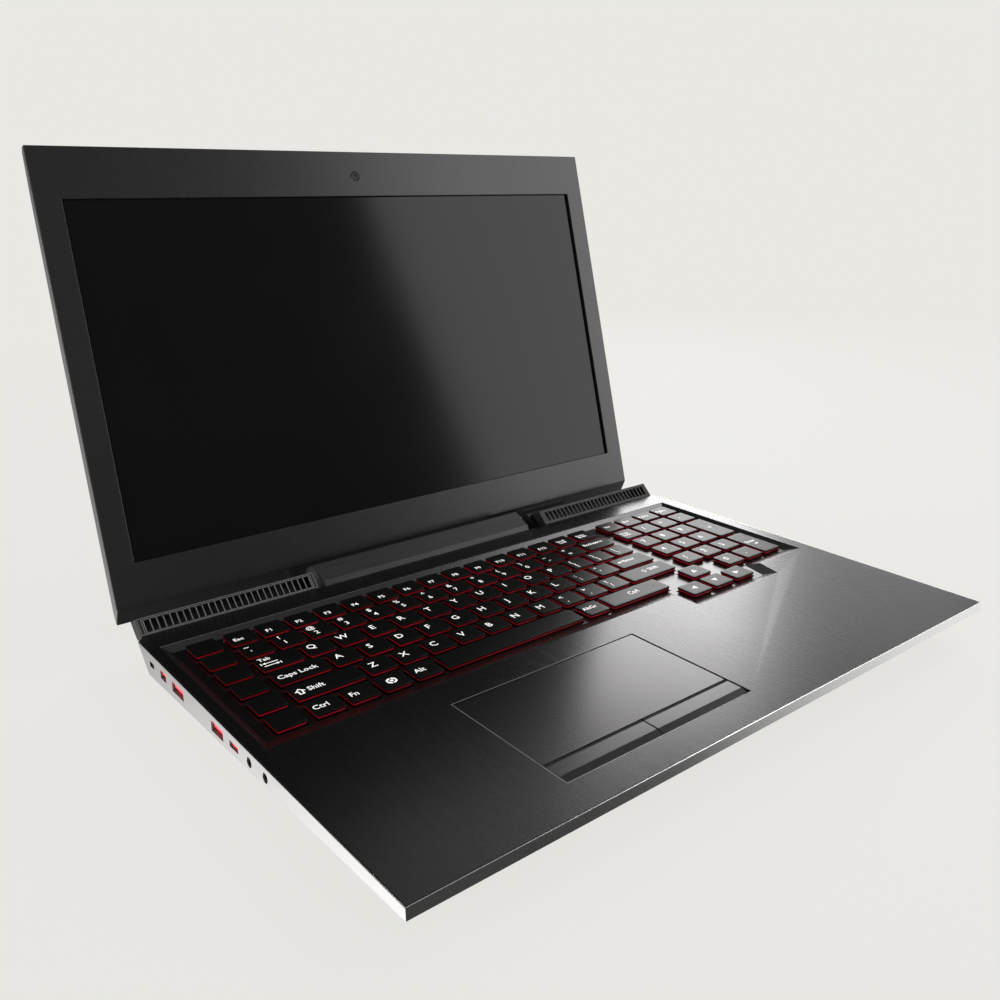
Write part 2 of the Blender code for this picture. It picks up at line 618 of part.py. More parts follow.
for name, (y, z, w, h) in LEFT_PORTS.items():
    if name != "lock":
        socket(name, y, z, w, h)
for name, (y, z, w, h) in RIGHT_PORTS.items():
    socket(name, y, z, w, h, right=True, tongue=0.12 if name == "network_socket" else 0.28)
for name, (y, z) in LEFT_JACKS.items():
    part(name, rod(y, z, 0.5, 13.0, JACK_R - GAP, 20, "X"), "port",
         cuts=[rod(y, z, -3, 11.5, 1.75, 20, "X")], smooth=True)
y, z = POWER_INLET
part("power_inlet", rod(y, z, WIDTH - 11.5, WIDTH - 0.6, 3.6, 20, "X"), "port",
     cuts=[rod(y, z, WIDTH - 10, WIDTH + 3, 2.75, 20, "X")],
     joins=[], smooth=True)
boolean(bpy.data.objects["power_inlet"], rod(y, z, WIDTH - 11, WIDTH - 2.0, 0.6, 10, "X"), "UNION")

y, z, w, h = POWER_KEY
part("power_button",
     boxes((WIDTH - 3.4, WIDTH - 0.2, y - w / 2 + GAP, y + w / 2 - GAP, z - h / 2 + GAP, z + h / 2 - GAP)),
     "silver", joins=[boxes((WIDTH - 4.4, WIDTH - 3.0, y - w / 2 - 1, y + w / 2 + 1, z - 1.6, z + 1.6))],
     centre=(WIDTH, y, z))

# inside --------------------------------------------------------------------------
board_chips = boxes((140, 166, 222, 248, -13.4, -11.0), (247, 273, 222, 248, -13.4, -11.0),
                    (184, 232, 226, 244, -12.9, -11.0))
part("main_board", boxes((95, 318, 136, 261, -11.4, -10.2)), "board", joins=[board_chips],
     cuts=[boxes((170, 243, 205, 215, -20, 0))])
part("memory_module", boxes((186, 254, 148, 178, -12.9, -11.8)), "board",
     joins=[boxes(*[(192 + 15 * i, 203 + 15 * i, 155, 171, -14.0, -12.5) for i in range(4)])])
part("storage_module", boxes((112, 134, 140, 218, -12.9, -11.8)), "board",
     joins=[boxes((115, 131, 150, 176, -14.0, -12.5))])
part("wireless_card", boxes((282, 304, 148, 178, -12.9, -11.8)), "board",
     joins=[boxes((285, 301, 153, 170, -14.0, -12.5))])
part("battery_pack", boxes((66, 346, 49, 118, -19.4, -9.6)), "cell",
     cuts=[boxes(*[(66 + 46.7 * i - 0.5, 66 + 46.7 * i + 0.5, 45, 122, -30, -18.8) for i in range(1, 6)])])
for name, x0, x1 in (("speaker_left", 20, 56), ("speaker_right", 357, 393)):
    part(name, boxes((x0, x1, 62, 118, -17.5, -8.5)), "black",
         cuts=[rod((x0 + x1) / 2, 84, -30, -16.0, 12, 24)])

for tag, fx in zip(("left", "right"), FAN_X):
    bm = bmesh.new()
    for i in range(5):
        t = 2 * math.pi * (i + 0.5) / 5
        add_rod(bm, fx + 16.5 * math.cos(t), FAN_Y + 16.5 * math.sin(t), -25, -17.8, 6.2, 16)
    intake = mesh_from(bm, "intake")
    part("fan_housing_" + tag, boxes((fx - 31, fx + 31, FAN_Y - 32, FAN_Y + 29.6, -19.5, -10.4)),
         "black",
         cuts=[rod(fx, FAN_Y, -18.3, -5, 28.6, 40),
               boxes((fx - 26, fx + 26, FAN_Y + 10, FAN_Y + 40, -18.3, -5)), intake],
         joins=[])
    boolean(bpy.data.objects["fan_housing_" + tag], rod(fx, FAN_Y, -18.8, -12.6, 1.3, 16), "UNION")
    blades = []
    for i in range(9):
        t = 2 * math.pi * i / 9
        turn = (Matrix.Translation((fx, FAN_Y, 0)) @ Matrix.Rotation(t, 4, "Z")
                @ Matrix.Translation((9.0, 0, 0)) @ Matrix.Rotation(math.radians(35), 4, "Z"))
        blades.append((-1.5, 17.5, -0.5, 0.5, -17.6, -11.6, turn))
    part("fan_rotor_" + tag, rod(fx, FAN_Y, -17.8, -11.3, 10.5, 28), "black",
         joins=[boxes(*blades)], cuts=[rod(fx, FAN_Y, -25, -12.2, 1.8, 16)],
         centre=(fx, FAN_Y, -14.5), smooth=True)
    part("fin_stack_" + tag, boxes((fx - 27, fx + 27, 268.2, 277.6, -18.6, -7.0)), "alu",
         cuts=[boxes(*[(fx - 24.7 + 4.5 * i, fx - 22.1 + 4.5 * i, 260, 290, -17.8, -7.8)
                       for i in range(11)])])

# heat pipe: from one fin stack, under both chips, to the other
route = [(FAN_X[0] + 27.7, 275.5), (FAN_X[0] + 40, 275.0), (113, 262), (128, 244), (153, 235),
         (206.7, 235), (260, 235), (285, 244), (300, 262), (FAN_X[1] - 40, 275.0),
         (FAN_X[1] - 27.7, 275.5)]


def smooth_route(points, each=4):
    """Catmull-Rom curve through the route's points."""
    out = []
    for i in range(len(points) - 1):
        p0, p1, p2, p3 = (Vector(points[max(0, min(len(points) - 1, k))]) for k in range(i - 1, i + 3))
        for j in range(each):
            t = j / each
            out.append(0.5 * ((2 * p1) + (p2 - p0) * t + (2 * p0 - 5 * p1 + 4 * p2 - p3) * t ** 2
                              + (3 * p1 - p0 - 3 * p2 + p3) * t ** 3))
    out.append(Vector(points[-1]))
    return out


curve = bpy.data.curves.new("heat_pipe", "CURVE")
curve.dimensions = "3D"
curve.bevel_depth = 0.0021
curve.bevel_resolution = 2
curve.use_fill_caps = True
path = smooth_route(route)
spline = curve.splines.new("POLY")
spline.points.add(len(path) - 1)
for point, (x, y) in zip(spline.points, path):
    point.co = (*to_world(x, y, -15.9), 1)
pipe = bpy.data.objects.new("heat_pipe", curve)
curve.materials.append(material("copper", *FINISH["copper"]))
parts.objects.link(pipe)

# feet and screws ---------------------------------------------------------------------
FEET = {"foot_front": (70, WIDTH - 70, 50, 60), "foot_rear_left": (40, 120, 246, 256),
        "foot_rear_right": (WIDTH - 120, WIDTH - 40, 246, 256)}
for name, (x0, x1, y0, y1) in FEET.items():
    low, high = -DECK_HEIGHT, UNDERSIDE - GAP
    part(name, hulls([(x + sx * i, y + sy * i, zz) for zz, i in ((high, 0.0), (low, 1.0))
                      for x, sx in ((x0, 1), (x1, -1)) for y, sy in ((y0, 1), (y1, -1))]), "rubber")
for i, (x, y) in enumerate(SCREWS, 1):
    part("case_screw_%d" % i, rod(x, y, UNDERSIDE - 1.5, UNDERSIDE - GAP, 2.7, 20), "steel",
         joins=[rod(x, y, UNDERSIDE - 0.8, UNDERSIDE + 7.0, 1.25, 14)], smooth=True)
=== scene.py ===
"""Looks for the laptop computer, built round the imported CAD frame.

P(x, y, z) takes the design's own millimetres: x from the left side, y from the
front edge, z from the deck.
"""

import math

import bmesh
import bpy
from mathutils import Matrix, Vector


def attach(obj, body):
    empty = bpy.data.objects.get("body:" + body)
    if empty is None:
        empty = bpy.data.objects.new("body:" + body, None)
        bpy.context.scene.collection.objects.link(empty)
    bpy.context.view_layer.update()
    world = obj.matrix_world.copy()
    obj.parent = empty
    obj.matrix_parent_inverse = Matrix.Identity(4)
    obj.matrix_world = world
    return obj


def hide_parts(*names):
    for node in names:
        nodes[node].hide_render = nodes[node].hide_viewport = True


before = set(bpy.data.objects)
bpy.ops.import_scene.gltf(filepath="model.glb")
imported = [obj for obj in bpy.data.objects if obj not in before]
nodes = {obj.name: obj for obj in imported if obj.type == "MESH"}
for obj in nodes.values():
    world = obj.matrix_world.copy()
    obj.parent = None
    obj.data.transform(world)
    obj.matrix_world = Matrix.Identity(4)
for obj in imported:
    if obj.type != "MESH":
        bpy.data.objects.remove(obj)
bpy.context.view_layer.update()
scene = bpy.context.scene
scene.view_settings.view_transform = "Standard"
scene.view_settings.look = "None"

WIDTH, MID_Y, DECK_HEIGHT = 413.3, 195.2045, 24.5
AXIS_Y, AXIS_Z, LID_ANGLE = 297.5, -14.7, math.radians(104.16)
KEY_TOP = -0.25


def P(x, y, z):
    return Vector((x - WIDTH / 2, y - MID_Y, z + DECK_HEIGHT)) * 0.001


TO_WORLD = Matrix.Scale(0.001, 4) @ Matrix.Translation((-WIDTH / 2, -MID_Y, DECK_HEIGHT))
OPEN = (
    Matrix.Translation((0, AXIS_Y, AXIS_Z))
    @ Matrix.Rotation(-LID_ANGLE, 4, "X")
    @ Matrix.Translation((0, -AXIS_Y, -AXIS_Z))
)


# ------------------------------------------------------------------ camera
def set_camera():
    data = bpy.data.cameras.new("camera")
    data.sensor_width = 36
    data.lens = 36.174
    data.shift_x = -0.084867
    data.shift_y = -0.040448
    data.clip_start = 0.01
    data.clip_end = 100
    right = Vector((0.750671, -0.660649, 0.006020))
    up = Vector((0.175617, 0.208315, 0.962166))
    ahead = Vector((0.636908, 0.721213, -0.272397))
    place = Matrix((right, up, -ahead)).transposed().to_4x4()
    place.translation = (-0.35939, -0.46406, 0.27785)
    cam = bpy.data.objects.new("camera", data)
    cam.matrix_world = place
    scene.collection.objects.link(cam)
    scene.camera = cam


set_camera()


# --------------------------------------------------------------- materials
def new_material(name):
    mat = bpy.data.materials.new(name)
    mat.use_nodes = True
    tree = mat.node_tree
    bsdf = tree.nodes["Principled BSDF"]
    return mat, tree, bsdf


def add(tree, kind, **inputs):
    node = tree.nodes.new(kind)
    for key, value in inputs.items():
        if key in node.bl_rna.properties:
            setattr(node, key, value)
        else:
            node.inputs[key.replace("_", " ")].default_value = value
    return node


def mapped_noise(tree, scale, detail=3.0, size=1.0, rough=0.55, turn=(0, 0, 0)):
    """Noise on the object's own coordinates, stretched by scale (per metre)."""
    coord = add(tree, "ShaderNodeTexCoord")
    mapping = add(tree, "ShaderNodeMapping")
    mapping.inputs["Scale"].default_value = scale
    mapping.inputs["Rotation"].default_value = turn
    tree.links.new(coord.outputs["Object"], mapping.inputs["Vector"])
    noise = add(tree, "ShaderNodeTexNoise", Scale=size, Detail=detail, Roughness=rough)
    tree.links.new(mapping.outputs["Vector"], noise.inputs["Vector"])
    return noise.outputs["Fac"]


def ramp(tree, fac, stops):
    node = tree.nodes.new("ShaderNodeValToRGB")
    while len(node.color_ramp.elements) < len(stops):
        node.color_ramp.elements.new(0.5)
    for element, (position, colour) in zip(node.color_ramp.elements, stops):
        element.position = position
        element.color = (*colour, 1)
    tree.links.new(fac, node.inputs["Fac"])
    return node.outputs["Color"]


def spread(tree, fac, low, high, a=0.3, b=0.7):
    node = add(tree, "ShaderNodeMapRange")
    node.inputs["From Min"].default_value = a
    node.inputs["From Max"].default_value = b
    node.inputs["To Min"].default_value = low
    node.inputs["To Max"].default_value = high
    tree.links.new(fac, node.inputs["Value"])
    return node.outputs["Result"]


def bump(tree, fac, distance, strength=1.0, under=None):
    node = add(tree, "ShaderNodeBump", Strength=strength, Distance=distance)
    tree.links.new(fac, node.inputs["Height"])
    if under is not None:
        tree.links.new(under, node.inputs["Normal"])
    return node.outputs["Normal"]


def surface(name, dark, light, rough, metal=0.0, grain=(900, 900, 900), depth=0.00001,
            smudge=14.0, detail=3.0, specular=0.5, coat=0.0, coat_rough=0.1, speck=None,
            emission=None, glow=0.0, turn=(0, 0, 0)):
    """Grain in the colour and the bump, and a slow smudge in the roughness."""
    mat, tree, bsdf = new_material(name)
    fine = mapped_noise(tree, grain, detail, turn=turn)
    slow = mapped_noise(tree, (smudge, smudge, smudge), 2.0)
    tree.links.new(ramp(tree, fine, [(0.32, dark), (0.68, light)]), bsdf.inputs["Base Color"])
    mix = add(tree, "ShaderNodeMath", operation="ADD")
    tree.links.new(spread(tree, fine, rough[0], (rough[0] + rough[1]) / 2), mix.inputs[0])
    tree.links.new(spread(tree, slow, 0.0, (rough[1] - rough[0]) / 2), mix.inputs[1])
    tree.links.new(mix.outputs["Value"], bsdf.inputs["Roughness"])
    normal = bump(tree, fine, depth)
    if speck:
        size, high = speck
        dots = mapped_noise(tree, (size, size, size), 1.0)
        normal = bump(tree, dots, high, under=normal)
    tree.links.new(normal, bsdf.inputs["Normal"])
    bsdf.inputs["Metallic"].default_value = metal
    bsdf.inputs["Specular IOR Level"].default_value = specular
    bsdf.inputs["Coat Weight"].default_value = coat
    bsdf.inputs["Coat Roughness"].default_value = coat_rough
    if emission:
        bsdf.inputs["Emission Color"].default_value = (*emission, 1)
        bsdf.inputs["Emission Strength"].default_value = glow
    return mat


BRUSH_Y = (1500, 34, 1500)     # strokes run front to back
BRUSH_X = (34, 1500, 1500)
M = {
    "deck": surface("brushed_dark_deck", (0.074, 0.071, 0.074), (0.084, 0.081, 0.083),
                    (0.25, 0.29), metal=0.9, grain=BRUSH_Y, depth=0.0000008, detail=1.0),
    "pad": surface("touch_pad_surface", (0.078, 0.075, 0.078), (0.084, 0.081, 0.083),
                   (0.24, 0.27), metal=0.85, grain=(1500, 200, 1500), depth=0.0000001, detail=1.0),
    "silver": surface("satin_silver", (0.70, 0.70, 0.70), (0.82, 0.82, 0.82), (0.20, 0.28),
                      metal=1.0, grain=(1500, 60, 1500), depth=0.000004),
    "bezel": surface("bezel_satin_black", (0.051, 0.049, 0.050), (0.064, 0.062, 0.063),
                     (0.24, 0.30), metal=0.6, grain=(2600, 2600, 2600), depth=0.000002),
    "black": surface("moulded_black", (0.016, 0.016, 0.017), (0.030, 0.030, 0.031),
                     (0.42, 0.56), grain=(1400, 1400, 1400), depth=0.00002, speck=(4200, 0.00001)),
    "vent": surface("vent_black", (0.030, 0.029, 0.030), (0.055, 0.054, 0.055),
                    (0.30, 0.42), metal=0.35, grain=(1600, 1600, 1600), depth=0.00001),
    "housing": surface("hinge_cover_black", (0.060, 0.058, 0.059), (0.090, 0.087, 0.088),
                       (0.34, 0.46), metal=0.6, grain=BRUSH_X, depth=0.000005),
    "key": surface("key_cap_black", (0.0035, 0.0040, 0.0036), (0.0070, 0.0078, 0.0072),
                   (0.34, 0.40), grain=(3200, 3200, 3200), depth=0.000003, specular=0.24),
    "legend": surface("legend_white", (0.84, 0.84, 0.83), (0.94, 0.94, 0.93), (0.4, 0.5),
                      grain=(3000, 3000, 3000), depth=0.000002,
                      emission=(1.0, 0.97, 0.95), glow=0.75),
    # red port tongues: the red plastic's own colour plus a painted red glow from the emission
    "red": surface("red_insert_painted_glow", (0.62, 0.016, 0.028), (0.80, 0.040, 0.050), (0.30, 0.42),
                   grain=(2400, 2400, 2400), depth=0.000006,
                   emission=(0.95, 0.06, 0.08), glow=0.95),
    # Light and dim grey bead materials: painted highlights standing in for glints on bevelled edges; the
    # dim one is a shaded copy of the light one
    "painted_highlight_dark": surface("dark_edge_painted_highlight", (0.10, 0.10, 0.10), (0.15, 0.15, 0.15), (0.36, 0.48), metal=0.3,
                         grain=(1800, 1800, 1800), depth=0.000003),
    "painted_highlight": surface("light_edge_painted_highlight", (0.34, 0.34, 0.34), (0.46, 0.46, 0.46), (0.30, 0.42), metal=0.3,
                    grain=(1800, 1800, 1800), depth=0.000003),
    "shell": surface("socket_steel", (0.22, 0.22, 0.22), (0.36, 0.36, 0.36), (0.26, 0.36),
                     metal=0.9, grain=(200, 2600, 2600), depth=0.000004),
    "socket": surface("socket_black", (0.014, 0.014, 0.014), (0.024, 0.024, 0.024), (0.3, 0.45),
                      grain=(1800, 1800, 1800), depth=0.00001),
    "arm": surface("dark_coated_steel", (0.020, 0.020, 0.021), (0.036, 0.036, 0.037), (0.34, 0.46),
                   metal=0.4, grain=(900, 900, 900), depth=0.00001, specular=0.35),
    "steel": surface("brushed_steel", (0.42, 0.42, 0.43), (0.62, 0.62, 0.63), (0.24, 0.36),
                     metal=1.0, grain=(60, 2200, 2200), depth=0.000004),
    "gold": surface("contact_gold", (0.70, 0.50, 0.20), (0.86, 0.64, 0.28), (0.2, 0.3),
                    metal=1.0, grain=(200, 3000, 3000), depth=0.000002),
    "copper": surface("heat_pipe_copper", (0.62, 0.27, 0.13), (0.80, 0.40, 0.22), (0.22, 0.36),
                      metal=1.0, grain=(60, 1600, 1600), depth=0.000005),
    "fins": surface("fin_aluminium", (0.52, 0.52, 0.53), (0.70, 0.70, 0.71), (0.3, 0.42),
                    metal=1.0, grain=(2200, 100, 1200), depth=0.000005),
    "rubber": surface("foot_rubber", (0.014, 0.014, 0.014), (0.028, 0.028, 0.028), (0.72, 0.9),
                      grain=(1800, 1800, 1800), depth=0.00003, speck=(5200, 0.00002)),
    "cell": surface("battery_wrap", (0.022, 0.023, 0.026), (0.040, 0.041, 0.045), (0.36, 0.5),
                    grain=(500, 500, 500), depth=0.00003),
}


def masked(name, other, low, high, axis="X", both=True, colours=None, metal=(0.6, 0.9)):
    """A material whose outer few tenths of a millimetre along an axis is bare metal."""
    mat, tree, bsdf = new_material(name)
    coord = add(tree, "ShaderNodeTexCoord")
    split = add(tree, "ShaderNodeSeparateXYZ")
    tree.links.new(coord.outputs["Object"], split.inputs["Vector"])
    value = split.outputs[axis]
    if both:
        node = add(tree, "ShaderNodeMath", operation="ABSOLUTE")
        tree.links.new(value, node.inputs[0])
        value = node.outputs["Value"]
    mask = spread(tree, value, 0.0, 1.0, low, high)
    fine = mapped_noise(tree, other, 3.0)
    slow = mapped_noise(tree, (12, 12, 12), 2.0)
    (dark, light), (dark2, light2) = colours
    a = ramp(tree, fine, [(0.32, dark), (0.68, light)])
    b = ramp(tree, fine, [(0.32, dark2), (0.68, light2)])
    mix = add(tree, "ShaderNodeMix", data_type="RGBA")
    tree.links.new(mask, mix.inputs["Factor"])
    tree.links.new(a, mix.inputs[6])
    tree.links.new(b, mix.inputs[7])
    tree.links.new(mix.outputs[2], bsdf.inputs["Base Color"])
    tree.links.new(spread(tree, mask, metal[0], metal[1], 0, 1), bsdf.inputs["Metallic"])
    tree.links.new(spread(tree, slow, 0.32, 0.44), bsdf.inputs["Roughness"])
    tree.links.new(bump(tree, fine, 0.000005), bsdf.inputs["Normal"])
    return mat


M["lid"] = masked("lid_shell_brushed", BRUSH_X, 0.20495, 0.20505,
                  colours=(((0.040, 0.039, 0.040), (0.066, 0.064, 0.064)),
                           ((0.46, 0.46, 0.46), (0.60, 0.60, 0.60))))


def screen_material():
    """Switched-off panel: near black under a smooth anti-glare front."""
    mat, tree, bsdf = new_material("screen_front")
    fine = mapped_noise(tree, (5200, 5200, 5200), 1.0)
    slow = mapped_noise(tree, (9, 9, 9), 2.0)
    tree.links.new(ramp(tree, slow, [(0.3, (0.0056, 0.0046, 0.0050)), (0.7, (0.0070, 0.0060, 0.0064))]),
                   bsdf.inputs["Base Color"])
    tree.links.new(spread(tree, slow, 0.10, 0.13), bsdf.inputs["Roughness"])
    tree.links.new(bump(tree, fine, 0.0000012), bsdf.inputs["Normal"])
    bsdf.inputs["Specular IOR Level"].default_value = 0.275
    return mat


def lens_material():
    mat, tree, bsdf = new_material("camera_glass")
    slow = mapped_noise(tree, (300, 300, 300), 2.0)
    tree.links.new(ramp(tree, slow, [(0.3, (0.010, 0.010, 0.014)), (0.7, (0.030, 0.028, 0.034))]),
                   bsdf.inputs["Base Color"])
    tree.links.new(spread(tree, slow, 0.06, 0.12), bsdf.inputs["Roughness"])
    bsdf.inputs["Coat Weight"].default_value = 0.6
    return mat


def board_material():
    """Green circuit board with faint copper tracks."""
    mat, tree, bsdf = new_material("circuit_board")
    coord = add(tree, "ShaderNodeTexCoord")
    mapping = add(tree, "ShaderNodeMapping")
    mapping.inputs["Scale"].default_value = (220, 220, 220)
    tree.links.new(coord.outputs["Object"], mapping.inputs["Vector"])
    cells = add(tree, "ShaderNodeTexVoronoi", feature="DISTANCE_TO_EDGE", Scale=1.0)
    tree.links.new(mapping.outputs["Vector"], cells.inputs["Vector"])
    tree.links.new(ramp(tree, cells.outputs["Distance"],
                        [(0.02, (0.10, 0.20, 0.07)), (0.07, (0.012, 0.085, 0.040))]),
                   bsdf.inputs["Base Color"])
    fine = mapped_noise(tree, (900, 900, 900), 3.0)
    tree.links.new(spread(tree, fine, 0.3, 0.5), bsdf.inputs["Roughness"])
    tree.links.new(bump(tree, cells.outputs["Distance"], 0.00003), bsdf.inputs["Normal"])
    return mat


M["screen"] = screen_material()
M["lens"] = lens_material()
M["board"] = board_material()


def skirt_material():
    """Red translucent lower part of the caps, lit from below."""
    mat, tree, bsdf = new_material("key_skirt_red")
    fine = mapped_noise(tree, (900, 900, 900), 2.0)
    slow = mapped_noise(tree, (26, 26, 26), 2.0)
    tree.links.new(ramp(tree, fine, [(0.3, (0.15, 0.003, 0.010)), (0.7, (0.26, 0.005, 0.015))]),
                   bsdf.inputs["Base Color"])
    tree.links.new(spread(tree, fine, 0.26, 0.4), bsdf.inputs["Roughness"])
    tree.links.new(spread(tree, slow, 0.05, 0.16), bsdf.inputs["Emission Strength"])
    bsdf.inputs["Emission Color"].default_value = (0.95, 0.012, 0.040, 1)
    return mat


M["skirt"] = skirt_material()

LOOKS = {
    "side_frame": "silver", "power_button": "silver",
    "palmrest_deck": "deck", "touch_pad": "pad", "touch_pad_button_left": "pad",
    "touch_pad_button_right": "pad",
    "bottom_cover": "black", "speaker_left": "black", "speaker_right": "black",
    "fan_housing_left": "black", "fan_housing_right": "black",
    "fan_rotor_left": "black", "fan_rotor_right": "black",
    "vent_block_left": "vent", "vent_block_right": "vent",
    "hinge_housing": "housing", "lid_back_cover": "lid", "lid_bezel": "bezel",
    "display_panel": "screen", "webcam_module": "lens",
    "hinge_arm_left": "arm", "hinge_arm_right": "arm", "keyboard_backplate": "steel",
    "heat_pipe": "copper", "fin_stack_left": "fins", "fin_stack_right": "fins",
    "touch_pad_board": "board", "main_board": "board", "memory_module": "board",
    "storage_module": "board", "wireless_card": "board", "battery_pack": "cell",
    "foot_front": "rubber", "foot_rear_left": "rubber", "foot_rear_right": "rubber",
    "network_socket": "shell", "port_display_small": "shell", "port_display_large": "shell",
    "port_type_a_left": "shell", "port_type_a_right": "shell", "port_type_c": "shell",
    "audio_jack_front": "socket", "audio_jack_rear": "socket", "power_inlet": "socket",
    "case_screw_1": "steel", "case_screw_2": "steel", "case_screw_3": "steel",
    "case_screw_4": "steel",
}
# softened edges: node -> width in millimetres
EDGES = {
    "side_frame": 0.12, "palmrest_deck": 0.22, "touch_pad": 0.15, "touch_pad_button_left": 0.18,
    "touch_pad_button_right": 0.18, "bottom_cover": 0.5, "vent_block_left": 0.25,
    "vent_block_right": 0.25, "hinge_housing": 0.6, "lid_bezel": 0.25, "lid_back_cover": 0.4,
    "hinge_arm_left": 0.3, "hinge_arm_right": 0.3, "power_button": 0.2, "battery_pack": 0.6,
    "foot_front": 0.4, "foot_rear_left": 0.4, "foot_rear_right": 0.4,
    "speaker_left": 0.5, "speaker_right": 0.5, "fan_housing_left": 0.3, "fan_housing_right": 0.3,
}


def soften(obj, width_mm):
    """Merge and round the edges of a carried-over node, by modifiers only."""
    weld = obj.modifiers.new("weld", "WELD")
    weld.merge_threshold = 0.000002
    edge = obj.modifiers.new("edge", "BEVEL")
    edge.width = width_mm * 0.001
    edge.segments = 2
    edge.limit_method = "ANGLE"
    edge.angle_limit = math.radians(28)
    edge.use_clamp_overlap = False
    edge.harden_normals = False
    mesh = obj.data
    if mesh.attributes.get("custom_normal"):
        mesh.attributes.remove(mesh.attributes["custom_normal"])
    mesh.shade_flat()


for name, look in LOOKS.items():
    node = nodes[name]
    node.data.materials.clear()
    node.data.materials.append(M[look])
    if name in EDGES:
        soften(node, EDGES[name])


# ------------------------------------------------------------------- helpers
def make(name, bm, body, looks, to=TO_WORLD, smooth=True, angle=35):
    """Object from a bmesh in design millimetres, riding on a body."""
    bmesh.ops.recalc_face_normals(bm, faces=bm.faces[:])
    bmesh.ops.transform(bm, matrix=to, verts=bm.verts[:])
    mesh = bpy.data.meshes.new(name)
    bm.to_mesh(mesh)
    bm.free()
    for look in looks:
        mesh.materials.append(M[look])
    if smooth:
        mesh.shade_smooth()
        mesh.set_sharp_from_angle(angle=math.radians(angle))
    obj = bpy.data.objects.new(name, mesh)
    scene.collection.objects.link(obj)
    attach(obj, body)
    return obj


def rounded(x0, x1, y0, y1, radius, steps=3):
    """Corner points of a rounded rectangle, anticlockwise."""
    points = []
    for cx, cy, start in ((x1 - radius, y1 - radius, 0), (x0 + radius, y1 - radius, 90),
                          (x0 + radius, y0 + radius, 180), (x1 - radius, y0 + radius, 270)):
        for i in range(steps + 1):
            t = math.radians(start + 90 * i / steps)
            points.append((cx + radius * math.cos(t), cy + radius * math.sin(t)))
    return points


def loft(bm, rings, mats, cap_mats=(0, 0)):
    """Closed skin over equal rings; mats gives the material of each band."""
    made = [[bm.verts.new(p) for p in ring] for ring in rings]
    count = len(made[0])
    for band, (low, high) in enumerate(zip(made, made[1:])):
        for i in range(count):
            j = (i + 1) % count
            face = bm.faces.new((low[i], low[j], high[j], high[i]))
            face.material_index = mats[band]
    bottom = bm.faces.new(list(reversed(made[0])))
    bottom.material_index = cap_mats[0]
    top = bm.faces.new(made[-1])
    top.material_index = cap_mats[1]


# -------------------------------------------------------------------- keys
KEY_W, KEY_D, PITCH = 15.7, 16.0, 19.2
ROWS = (143.3, 163.9, 184.6, 204.5, 224.3, 244.0)
ARROW_Y = 123.8
R0, R1, R2, R3, R4, R5 = ROWS
STEP = PITCH - KEY_W
NUM_X = [324.5 + 18.95 * i for i in range(4)]


def run(start, widths, y, gap=3.5):
    keys, x = [], start
    for width in widths:
        keys.append((x, x + width, y, y + KEY_D))
        x += width + gap
    return keys


KEYS = {
    "keys_macro": [(18.2, 18.2 + KEY_W, y, y + KEY_D) for y in ROWS],
    "keys_function": [(39.2 + 18.4 * i, 54.4 + 18.4 * i, R5, R5 + KEY_D) for i in range(15)],
    "keys_number": run(39.2, [KEY_W] * 13 + [312.0 - 288.8], R4, STEP),
    "keys_upper": [(39.2, 63.0, R3, R3 + KEY_D)]
    + run(66.5, [KEY_W] * 12 + [312.0 - 296.9], R3, STEP),
    "keys_home": [(39.2, 68.7, R2, R2 + KEY_D)]
    + run(72.2, [KEY_W] * 11 + [312.0 - 283.4], R2, STEP),
    "keys_lower": [(39.2, 77.6, R1, R1 + KEY_D)]
    + run(81.1, [KEY_W] * 10 + [312.0 - 273.1], R1, STEP),
    "keys_bottom_left": run(39.2, [KEY_W] * 4, R0, STEP),
    "space_bar": [(116.0, 211.5, R0, R0 + KEY_D)],
    "keys_bottom_right": [(217.0, 232.7, R0, R0 + KEY_D), (236.4, 285.0, R0, R0 + KEY_D)],
    "keys_arrow": [(287.3, 304.0, ARROW_Y, ARROW_Y + 15.6), (307.9, 324.6, ARROW_Y, ARROW_Y + 15.6),
                   (328.5, 345.2, ARROW_Y, ARROW_Y + 15.6), (307.9, 324.6, R0, R0 + KEY_D)],
    "keys_number_pad": [(x, x + KEY_W, y, y + KEY_D) for y in (R5, R4) for x in NUM_X]
    + [(x, x + KEY_W, y, y + KEY_D) for y in (R3, R2, R1) for x in NUM_X[:3]]
    + [(x, x + KEY_W, R0, R0 + KEY_D) for x in NUM_X[1:3]]
    + [(NUM_X[3], NUM_X[3] + KEY_W, R2, R3 + KEY_D), (NUM_X[3], NUM_X[3] + KEY_W, R0, R1 + KEY_D)],
}
WEB_LOW, WEB_TOP = -6.2, -5.2
WEBS = {"keys_arrow": [(289.3, 343.2, ARROW_Y + 3, ARROW_Y + 12.6), (310, 322.5, ARROW_Y + 5, R0 + 13)],
        "keys_number_pad": [(NUM_X[0] + 2, NUM_X[3] + 13.7, R1 + 2, R5 + 14),
                            (NUM_X[1] + 2, NUM_X[3] + 13.7, R0 + 2, R1 + 5)],
        "keys_macro": [(20.2, 31.9, R0 + 2, R5 + 14)]}
# inset and height of each ring of a cap, and the material of the band above it
CAP = [(1.0, -5.9, 0), (0.9, -2.62, 0), (0.42, -2.48, 1), (0.08, -1.48, 1), (0.0, -1.38, 0),
       (0.0, -0.52, 0), (0.07, -0.36, 0), (0.22, -0.27, 0), (0.45, -0.25, 0), (3.0, -0.29, 0)]


